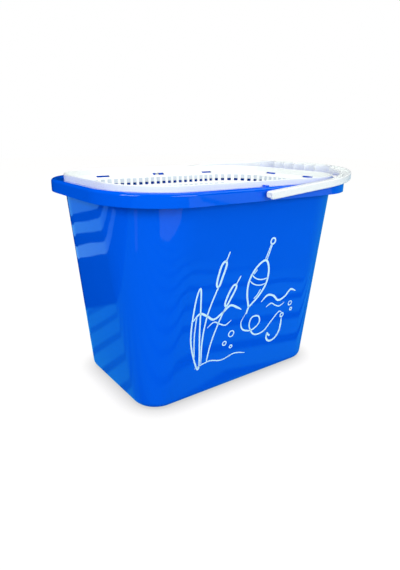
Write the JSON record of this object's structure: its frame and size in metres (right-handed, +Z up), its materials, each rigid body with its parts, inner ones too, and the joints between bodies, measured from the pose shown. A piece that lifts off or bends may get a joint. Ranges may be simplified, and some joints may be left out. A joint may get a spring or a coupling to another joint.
{
  "type": "fishing bucket",
  "caption": "Oblong blue plastic fishing bucket with a white slotted strainer tray in its mouth and a white carrying handle with finger grips folded down on the rim.",
  "frame": {"origin": "middle of the flat base, on the ground", "axes": "+X along the length towards the end on which the handle lies, -Y towards the front, +Z up"},
  "size_m": [0.4029, 0.2992, 0.2918],
  "materials": {
    "blue_plastic": "moulded gloss blue",
    "white_plastic": "moulded satin white"
  },
  "bodies": {
    "tub": {"bucket": "blue_plastic"},
    "tray": {"strainer_tray": "white_plastic"},
    "handle": {"bail_handle": "white_plastic", "pivot_pin_front": "white_plastic", "pivot_pin_back": "white_plastic"}
  },
  "joints": [
    {"name": "handle_swing", "type": "hinge", "parent": "tub", "child": "handle", "pos_m": [0, 0, 0.27], "axis": [0, -1, 0], "range_deg": [0, 170]},
    {"name": "tray_lift", "type": "slide", "parent": "tub", "child": "tray", "axis": [0, 0, 1], "range_m": [0, 0.06]}
  ]
}
